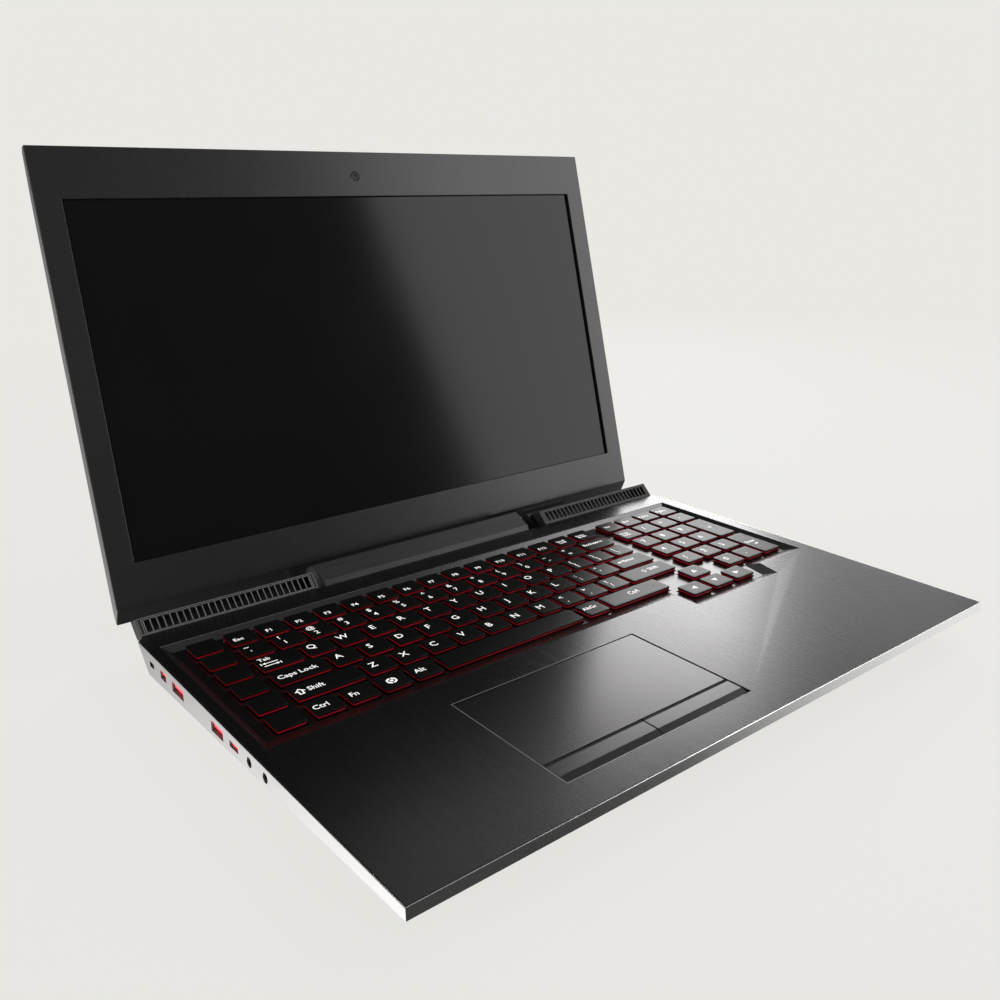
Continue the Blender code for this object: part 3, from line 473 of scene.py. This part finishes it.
def caps(name, keys):
    bm = bmesh.new()
    for x0, x1, y0, y1 in keys:
        rings = []
        for inset, z, _ in CAP:
            radius = max(1.1 - inset * 0.3, 0.25)
            rings.append([(x, y, z) for x, y in
                          rounded(x0 + inset, x1 - inset, y0 + inset, y1 - inset, radius, 4)])
        loft(bm, rings, [m for _, _, m in CAP], (0, 0))
    xs = [k[0] for k in keys] + [k[1] for k in keys]
    ys = [k[2] for k in keys] + [k[3] for k in keys]
    if len(keys) > 1:
        for a, b, c, d in WEBS.get(name, [(min(xs) + 2, max(xs) - 2, min(ys) + 3, max(ys) - 3)]):
            loft(bm, [[(x, y, z) for x, y in rounded(a, b, c, d, 1.0)] for z in (-6.15, -5.95)],
                 [0], (0, 0))
    obj = make(name + "_caps", bm, name, ["key", "skirt"])
    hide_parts(name)


for name, keys in KEYS.items():
    caps(name, keys)


# legends ------------------------------------------------------------------
def text_mesh(bm, text, x, y, size, bold=0.045, z=KEY_TOP, wide=1.0, left=False, thick=0.02):
    curve = bpy.data.curves.new("legend", "FONT")
    curve.body = text
    curve.size = size
    curve.align_x = "LEFT" if left else "CENTER"
    curve.align_y = "CENTER"
    curve.extrude = thick
    curve.offset = bold
    curve.resolution_u = 2
    curve.space_line = 0.85
    obj = bpy.data.objects.new("legend", curve)
    scene.collection.objects.link(obj)
    bpy.context.view_layer.update()
    graph = bpy.context.evaluated_depsgraph_get()
    mesh = bpy.data.meshes.new_from_object(obj.evaluated_get(graph))
    bpy.data.objects.remove(obj, do_unlink=True)
    bpy.data.curves.remove(curve)
    mesh.transform(Matrix.Translation((x, y, z)) @ Matrix.Diagonal((wide, 1, 1, 1)))
    bm.from_mesh(mesh)
    bpy.data.meshes.remove(mesh)


def shape(bm, points, x, y, size, z=KEY_TOP, thick=0.02):
    """Flat symbol from an outline given in units of size."""
    low = [bm.verts.new((x + a * size, y + b * size, z - thick)) for a, b in points]
    high = [bm.verts.new((x + a * size, y + b * size, z + thick)) for a, b in points]
    bm.faces.new(high)
    bm.faces.new(list(reversed(low)))
    for i in range(len(points)):
        j = (i + 1) % len(points)
        bm.faces.new((low[i], low[j], high[j], high[i]))


def arrow(turn, tail=True):
    """Arrow outline pointing left, turned by degrees."""
    if tail:
        points = [(-0.6, 0), (0.0, 0.38), (0.0, 0.13), (0.6, 0.13), (0.6, -0.13), (0.0, -0.13),
                  (0.0, -0.38)]
    else:
        points = [(-0.5, 0), (0.5, 0.5), (0.5, -0.5)]
    t = math.radians(turn)
    return [(a * math.cos(t) - b * math.sin(t), a * math.sin(t) + b * math.cos(t))
            for a, b in reversed(points)]


def up_arrow_outline(bm, x, y, size):
    outer = [(-0.5, 0.0), (0.0, 0.55), (0.5, 0.0), (0.24, 0.0), (0.24, -0.5), (-0.24, -0.5), (-0.24, 0.0)]
    inner = [(-0.26, 0.09), (0.0, 0.37), (0.26, 0.09), (0.12, 0.09), (0.12, -0.38), (-0.12, -0.38),
             (-0.12, 0.09)]
    rings = []
    for z in (KEY_TOP - 0.02, KEY_TOP + 0.02):
        rings.append(([bm.verts.new((x + a * size, y + b * size, z)) for a, b in outer],
                      [bm.verts.new((x + a * size, y + b * size, z)) for a, b in inner]))
    n = len(outer)
    for i in range(n):
        j = (i + 1) % n
        (lo, li), (ho, hi) = rings
        bm.faces.new((ho[i], ho[j], hi[j], hi[i]))
        bm.faces.new((lo[j], lo[i], li[i], li[j]))
        bm.faces.new((lo[i], lo[j], ho[j], ho[i]))
        bm.faces.new((li[j], li[i], hi[i], hi[j]))


BIG, MIDDLE, SMALL, TINY = 7.4, 5.9, 4.7, 3.5


def legends():
    """Per group: a list of drawing calls for each key, relative to the key's front left corner."""
    table = {name: [] for name in KEYS}

    def put(name, index, *items):
        x0, x1, y0, y1 = KEYS[name][index]
        for item in items:
            table[name].append((item[0], x0 + item[1], y0 + item[2], *item[3:]))

    for i, text in enumerate(["Esc"] + ["F%d" % k for k in range(1, 13)]):
        put("keys_function", i, (text, 4.9, 4.9, SMALL + 0.3))
    put("keys_function", 13, ("Scroll\nLock", 5.6, 6.4, TINY))
    put("keys_function", 14, ("Pause\nBreak", 5.6, 6.4, TINY))
    pairs = list(zip("~!@#$%^&*()_+", "`1234567890-="))
    for i, (high, low) in enumerate(pairs):
        put("keys_number", i, (high, 3.7, 11.6, MIDDLE), (low, 4.6, 4.4, MIDDLE))
    put("keys_number", 13, ("Backspace", 10.2, 9.6, SMALL))
    put("keys_upper", 0, ("Tab", 5.2, 11.6, SMALL + 0.2), ("tab", 6.4, 5.0, 0))
    for i, text in enumerate("QWERTYUIOP"):
        put("keys_upper", i + 1, (text, 4.4, 9.2, BIG))
    for i, (high, low) in enumerate(("{[", "}]", "|\\")):
        put("keys_upper", 11 + i, (high, 4.2, 11.0, MIDDLE), (low, 4.6, 5.2, MIDDLE))
    put("keys_home", 0, ("Caps Lock", 12.6, 6.6, MIDDLE - 0.1))
    for i, text in enumerate("ASDFGHJKL"):
        put("keys_home", i + 1, (text, 4.6, 8.8, BIG))
    for i, (high, low) in enumerate((":;", "\"'")):
        put("keys_home", 10 + i, (high, 4.2, 11.0, MIDDLE), (low, 4.6, 5.6, MIDDLE))
    put("keys_home", 12, ("enter", 5.0, 9.4, 3.4), ("Enter", 13.0, 9.4, SMALL + 0.4))
    put("keys_lower", 0, ("shift", 4.2, 6.8, 6.0), ("Shift", 12.8, 6.8, MIDDLE))
    for i, text in enumerate("ZXCVBNM"):
        put("keys_lower", i + 1, (text, 5.0, 8.4, BIG))
    for i, (high, low) in enumerate(("<,", ">.", "?/")):
        put("keys_lower", 8 + i, (high, 4.2, 11.0, MIDDLE), (low, 4.6, 5.4, MIDDLE))
    put("keys_lower", 11, ("shift", 17.6, 9.0, 4.0), ("Shift", 25.6, 9.0, SMALL + 0.6))
    put("keys_bottom_left", 0, ("Ctrl", 5.4, 7.6, MIDDLE))
    put("keys_bottom_left", 1, ("Fn", 4.4, 7.4, MIDDLE))
    put("keys_bottom_left", 2, ("mark", 7.0, 7.4, 6.0))
    put("keys_bottom_left", 3, ("Alt", 5.0, 7.6, MIDDLE))
    put("keys_bottom_right", 0, ("AltGr", 6.6, 8.8, SMALL + 0.4))
    put("keys_bottom_right", 1, ("Ctrl", 24.0, 8.6, MIDDLE))
    for i, turn in enumerate((0, 90, 180)):
        put("keys_arrow", i, ("arrow%d" % turn, 7.6, 8.0, 4.2))
    put("keys_arrow", 3, ("arrow270", 7.6, 8.2, 4.2))
    for i, text in enumerate(("Ins", "Del", "PgUp", "PgDn")):
        put("keys_number_pad", i, (text, 5.8, 8.4, SMALL))
    put("keys_number_pad", 4, ("Num\nLock", 5.6, 8.2, TINY + 0.3))
    for i, text in enumerate("/*-"):
        put("keys_number_pad", 5 + i, (text, 6.0, 8.6, BIG))
    for i, text in enumerate("789456123"):
        put("keys_number_pad", 8 + i, (text, 6.0, 8.6, BIG))
    put("keys_number_pad", 17, ("0", 6.0, 8.6, BIG))
    put("keys_number_pad", 18, (".", 6.0, 8.6, BIG))
    put("keys_number_pad", 19, ("+", 7.8, 18.0, BIG))
    put("keys_number_pad", 20, ("Enter", 7.0, 20.0, SMALL), ("enter", 7.6, 14.6, 3.2))
    return table


for name, items in legends().items():
    if not items:
        continue
    bm = bmesh.new()
    for kind, x, y, size in items:
        if kind == "shift":
            up_arrow_outline(bm, x, y, size)
        elif kind == "enter":
            shape(bm, arrow(0), x, y, size)
            shape(bm, [(0.50, 0.12), (0.60, 0.12), (0.60, 0.55), (0.50, 0.55)], x, y, size)
        elif kind == "tab":
            for side, dy in ((1, 1.55), (-1, -1.55)):
                line = [(-4.4, 0), (-2.6, 1.15), (-2.6, 0.34), (4.4, 0.34), (4.4, -0.34),
                        (-2.6, -0.34), (-2.6, -1.15)]
                turned = [(side * a, side * b) for a, b in reversed(line)]
                shape(bm, turned, x, y + dy, 1.0)
                bar = [(-5.3, -1.2), (-4.75, -1.2), (-4.75, 1.2), (-5.3, 1.2)]
                shape(bm, [(side * a, side * b) for a, b in bar], x, y + dy, 1.0)
        elif kind == "mark":
            t = [(0.5 * math.cos(a), 0.5 * math.sin(a)) for a in
                 [2 * math.pi * k / 28 for k in range(28)]]
            inner = [(0.62 * a, 0.62 * b) for a, b in t]
            for k in range(28):
                j = (k + 1) % 28
                if k % 7 == 6:
                    continue
                shape(bm, [inner[k], t[k], t[j], inner[j]], x, y, size)
            shape(bm, [(0.34 * a, 0.34 * b) for a, b in t], x, y, size)
        elif kind.startswith("arrow"):
            shape(bm, arrow(int(kind[5:]), tail=False), x, y, size)
        else:
            text_mesh(bm, kind, x, y, size, wide=0.90, bold=0.0 if "M" in kind else 0.045)
    bmesh.ops.remove_doubles(bm, verts=bm.verts[:], dist=0.002)
    make(name + "_legends", bm, name, ["legend"], smooth=False)


# ----------------------------------------------------------- socket inserts
LEFT_PORTS = {
    "port_display_small": (244.0, -6.3, 8.3, 5.0, 0.13),
    "port_display_large": (223.0, -6.4, 16.0, 5.8, 0.13),
    "port_type_a_left": (171.4, -6.1, 14.4, 5.6, 0.13),
    "port_type_c": (151.6, -5.6, 10.0, 3.4, 0.0),
}


def insert(name, y, z, width, height, lift, right=False):
    """Red contact tongue drawn over the CAD one, with its row of contacts; its red carries a painted glow.
    """
    half, thick = width * 0.80 / 2, height * 0.21
    mid = z + height * lift
    bm = bmesh.new()
    rings = []
    for x, inset in ((0.92, 0.25), (1.00, 0.08), (1.15, 0.0), (7.3, 0.0)):
        ring = [(x, a, b) for a, b in
                rounded(y - half + inset, y + half - inset, mid - thick + inset, mid + thick - inset,
                        0.3, 3)]
        rings.append(ring)
    loft(bm, rings, [0, 0, 0], (0, 0))
    count = 4 if height > 4 else 6
    for i in range(count):
        c = y + (i - (count - 1) / 2) * (half * 1.7 / count)
        w = half * 0.36 / count * 2
        ring = [[(x, a, b) for a, b in ((c - w / 2, mid - thick - 0.09), (c + w / 2, mid - thick - 0.09),
                                        (c + w / 2, mid - thick + 0.04), (c - w / 2, mid - thick + 0.04))]
                for x in (1.5, 7.0)]
        loft(bm, ring, [1], (1, 1))
    if right:
        bmesh.ops.transform(bm, matrix=Matrix.Translation((WIDTH, 0, 0)) @ Matrix.Diagonal((-1, 1, 1, 1)),
                            verts=bm.verts[:])
    make(name + "_tongue", bm, "base", ["red", "gold"])


for name, data in LEFT_PORTS.items():
    insert(name, *data)
insert("port_type_a_right", 206.0, -6.3, 14.4, 5.6, 0.13, right=True)


# ------------------------------------------------------ painted highlight lines and hinge plugs
SLOPE_MID, SLOPE_T, SLOPE_N = (290.4, 4.25), (0.7285, 0.685), (-0.685, 0.7285)


def on_slope(x, u, h):
    return (x, SLOPE_MID[0] + SLOPE_T[0] * u + SLOPE_N[0] * h,
            SLOPE_MID[1] + SLOPE_T[1] * u + SLOPE_N[1] * h)


def slope_bar(bm, x0, x1, u0, u1, high=0.10):
    loft(bm, [[on_slope(x, u, h) for x, u in ((x0, u0), (x1, u0), (x1, u1), (x0, u1))]
              for h in (-0.05, high)], [0])


def vent_painted_highlight(name, x0, x1, look):
    """Raised double frame round the grille and a bead along each rib, in lighter grey: painted edge
    highlights.
    """
    bm = bmesh.new()
    for a, b, low, high in ((x0 + 0.35, x1 - 0.35, -5.35, 5.35), (x0 + 2.3, x1 - 2.3, -4.62, 4.35)):
        w = 0.30
        slope_bar(bm, a, b, low, low + w)
        slope_bar(bm, a, b, high - w, high)
        slope_bar(bm, a, a + w, low + w, high - w)
        slope_bar(bm, b - w, b, low + w, high - w)
    pitch = (x1 - x0 - 7.0) / 27
    for i in range(28):
        x = x0 + 3.5 + pitch * i
        slope_bar(bm, x - 0.20, x + 0.20, -3.95, 3.65, 0.07)
    make(name, bm, "base", [look], smooth=False)


# left grille: light painted highlights; right grille: the dimmer, shaded copy
vent_painted_highlight("vent_painted_highlight_left", 3.6, 112.6, "painted_highlight")
vent_painted_highlight("vent_painted_highlight_right", 298.5, 409.7, "painted_highlight_dark")
bm = bmesh.new()
outline = [(296.2, -5.4), (303.4, 1.4), (303.4, -19.0), (296.2, -19.0)]
loft(bm, [[(x, y, z) for y, z in outline] for x in (296.1, 409.0)], [0])
ledge = [(303.0, -19.0), (309.0, -19.0), (309.0, 3.3), (305.2, 3.3), (303.0, 1.2)]
loft(bm, [[(x, y, z) for y, z in ledge] for x in (296.1, 336.0)], [0])
wall = [(310.0, -19.5), (313.5, -19.5), (313.5, 5.0), (310.0, 5.0)]
loft(bm, [[(x, y, z) for y, z in wall] for x in (296.4, 336.0)], [0])
make("vent_foot_right", bm, "base", ["black"], smooth=False)
bm = bmesh.new()
loft(bm, [[(x, y, z) for y, z in outline] for x in (40.0, 112.2)], [0])
make("vent_foot_left", bm, "base", ["black"], smooth=False)


def bar(bm, x0, x1, y0, y1, z0, z1, look=0):
    loft(bm, [[(x0, y0, z), (x1, y0, z), (x1, y1, z), (x0, y1, z)] for z in (z0, z1)], [look],
         (look, look))


# thin light bars round the pad recess: painted highlight of its chamfered edge
bm = bmesh.new()
bar(bm, 94.1 - 0.42, 94.1, 20.9, 109.6, -0.05, 0.05)
bar(bm, 94.1, 217.8, 109.2, 109.62, -0.05, 0.05)
bar(bm, 94.1, 217.8, 20.5, 20.9, -0.05, 0.05)
make("touch_pad_painted_highlight", bm, "base", ["painted_highlight"], smooth=False)
# thin light bar along the rear edge of the key bay: painted highlight of the deck's edge
bm = bmesh.new()
bar(bm, 7.0, 403.4, 266.7, 267.05, -0.05, 0.06)
make("key_bay_painted_highlight", bm, "base", ["painted_highlight"], smooth=False)
# black strips along the rear edge of the pad buttons: painted shadow of the step down from the pad
for side, (x0, x1) in (("left", (94.9, 155.3)), ("right", (156.3, 217.0))):
    bm = bmesh.new()
    bar(bm, x0, x1, 36.2, 37.6, -0.32, -0.26)
    make("button_painted_shadow_" + side, bm, "touch_pad_button_" + side, ["rubber"], smooth=False)


LID_EDGE_Y, LID_FACE_Z, BEZEL = AXIS_Y - 23.96, AXIS_Z + 16.16, 2.0


def lid_point(v, w):
    return LID_EDGE_Y - v, LID_FACE_Z - w


def chin_plug(name, x0, x1):
    """Closes the lip of the lid over a hinge arm."""
    length = math.hypot(8.6, 7.2)
    inner = (0.642 * BEZEL - 8.6, -0.767 * BEZEL - 7.2)
    outline = [lid_point(0, 0), lid_point(-8.6, -7.2), lid_point(*inner), lid_point(0.72, -BEZEL)]
    bm = bmesh.new()
    loft(bm, [[(x, y, z) for y, z in outline] for x in (x0, x1)], [0])
    make(name, bm, "lid", ["arm"], to=TO_WORLD @ OPEN, smooth=False)


chin_plug("hinge_lip_left", 112.65, 116.95)
chin_plug("hinge_lip_right", 284.55, 295.45)


# -------------------------------------------------------------- floor, light
def stage_material():
    """Pale floor: lit near the object, the plain backdrop's own tone far away."""
    mat, tree, bsdf = new_material("studio_floor")
    out = tree.nodes["Material Output"]
    coord = add(tree, "ShaderNodeTexCoord")
    length = add(tree, "ShaderNodeVectorMath", operation="LENGTH")
    tree.links.new(coord.outputs["Object"], length.inputs[0])
    far = spread(tree, length.outputs["Value"], 0.0, 1.0, 0.45, 1.5)
    bsdf.inputs["Base Color"].default_value = (0.115, 0.114, 0.112, 1)
    bsdf.inputs["Roughness"].default_value = 0.8
    bsdf.inputs["Specular IOR Level"].default_value = 0.1
    bsdf.inputs["Emission Color"].default_value = (0.815, 0.807, 0.776, 1)
    bsdf.inputs["Emission Strength"].default_value = FLOOR_GLOW
    flat = add(tree, "ShaderNodeEmission")
    flat.inputs["Color"].default_value = (0.815, 0.807, 0.776, 1)
    mix = add(tree, "ShaderNodeMixShader")
    tree.links.new(far, mix.inputs["Fac"])
    tree.links.new(bsdf.outputs["BSDF"], mix.inputs[1])
    tree.links.new(flat.outputs["Emission"], mix.inputs[2])
    tree.links.new(mix.outputs["Shader"], out.inputs["Surface"])
    return mat


FLOOR_GLOW = 0.925


def add_floor():
    bm = bmesh.new()
    bmesh.ops.create_circle(bm, cap_ends=True, segments=96, radius=30)
    mesh = bpy.data.meshes.new("floor")
    bm.to_mesh(mesh)
    bm.free()
    mesh.materials.append(stage_material())
    floor = bpy.data.objects.new("floor", mesh)
    floor.location = (0, 0, -0.0001)
    floor.visible_glossy = False
    scene.collection.objects.link(floor)
    # backdrop ring, seen by the camera and not by reflections
    bm = bmesh.new()
    bmesh.ops.create_cone(bm, cap_ends=False, segments=96, radius1=29, radius2=29, depth=40)
    mesh = bpy.data.meshes.new("backdrop")
    bm.to_mesh(mesh)
    bm.free()
    mat, tree, bsdf = new_material("studio_backdrop")
    bsdf.inputs["Base Color"].default_value = (0, 0, 0, 1)
    bsdf.inputs["Specular IOR Level"].default_value = 0
    bsdf.inputs["Emission Color"].default_value = (0.815, 0.807, 0.776, 1)
    bsdf.inputs["Emission Strength"].default_value = 1.0
    mesh.materials.append(mat)
    wall = bpy.data.objects.new("backdrop", mesh)
    wall.location = (0, 0, 19)
    wall.visible_glossy = False
    wall.visible_diffuse = False
    wall.visible_shadow = False
    scene.collection.objects.link(wall)


def area(name, place, look_at, size, power, colour=(1, 1, 1), size_y=None):
    data = bpy.data.lights.new(name, "AREA")
    data.energy = power
    data.color = colour
    data.shape = "RECTANGLE"
    data.size = size
    data.size_y = size_y or size
    obj = bpy.data.objects.new(name, data)
    obj.location = place
    obj.rotation_euler = (Vector(look_at) - Vector(place)).to_track_quat("-Z", "Y").to_euler()
    obj.visible_camera = False
    scene.collection.objects.link(obj)
    return obj


add_floor()
area("softbox_back_right", (1.56, 1.34, 0.80), (0.05, 0.0, 0.0), 0.50, 7.0, size_y=0.8)
area("panel_right", (1.86, 1.02, 0.80), (0.1, 0.0, 0.0), 0.85, 1.9, size_y=0.8)
area("low_back", (1.45, 1.50, 0.16), (0.1, 0.0, 0.03), 0.7, 2.2, size_y=0.26)
area("high_back", (1.10, 1.50, 1.56), (-0.1, -0.1, 0.0), 0.8, 0.9)
area("softbox_front_right", (1.75, -1.45, 0.85), (0.1, 0.1, 0.12), 1.15, 16, size_y=1.7)
area("fill_left", (-1.6, 0.1, 0.55), (-0.1, 0.0, 0.0), 0.8, 6)
area("top", (1.72, 0.0, 1.80), (0.1, 0.05, 0), 0.62, 7.5)


def studio_world():
    """Soft surroundings: dim overhead, a pale sweep low on the right and low behind the left side."""
    world = bpy.data.worlds.new("studio")
    scene.world = world
    world.use_nodes = True
    tree = world.node_tree
    coord = add(tree, "ShaderNodeTexCoord")
    split = add(tree, "ShaderNodeSeparateXYZ")
    tree.links.new(coord.outputs["Generated"], split.inputs["Vector"])
    x, y, z = split.outputs["X"], split.outputs["Y"], split.outputs["Z"]

    def product(a, b):
        node = add(tree, "ShaderNodeMath", operation="MULTIPLY")
        tree.links.new(a, node.inputs[0])
        tree.links.new(b, node.inputs[1])
        return node.outputs["Value"]

    def total(a, b):
        node = add(tree, "ShaderNodeMath", operation="ADD")
        tree.links.new(a, node.inputs[0])
        tree.links.new(b, node.inputs[1])
        return node.outputs["Value"]

    right = product(spread(tree, x, 0.0, 1.05, 0.64, 0.80), spread(tree, z, 1.0, 0.12, -0.05, 0.12))
    left = product(spread(tree, x, 1.0, 0.0, -0.12, 0.05), spread(tree, z, 1.42, 0.22, -0.66, -0.34))
    below = product(left, spread(tree, z, 1.0, 0.0, -0.12, 0.0))
    behind = product(spread(tree, x, 0.0, 2.2, 0.32, 0.52), spread(tree, y, 0.0, 1.0, 0.45, 0.60))
    behind = product(behind, spread(tree, z, 1.0, 0.0, -0.06, 0.10))
    above = total(spread(tree, z, 0.05, 0.135, -0.3, 0.0), spread(tree, z, 0.0, 0.22, 0.86, 1.0))
    strength = total(total(total(right, below), behind), above)
    back = tree.nodes["Background"]
    back.inputs["Color"].default_value = (1.0, 0.99, 0.975, 1)
    tree.links.new(strength, back.inputs["Strength"])


studio_world()
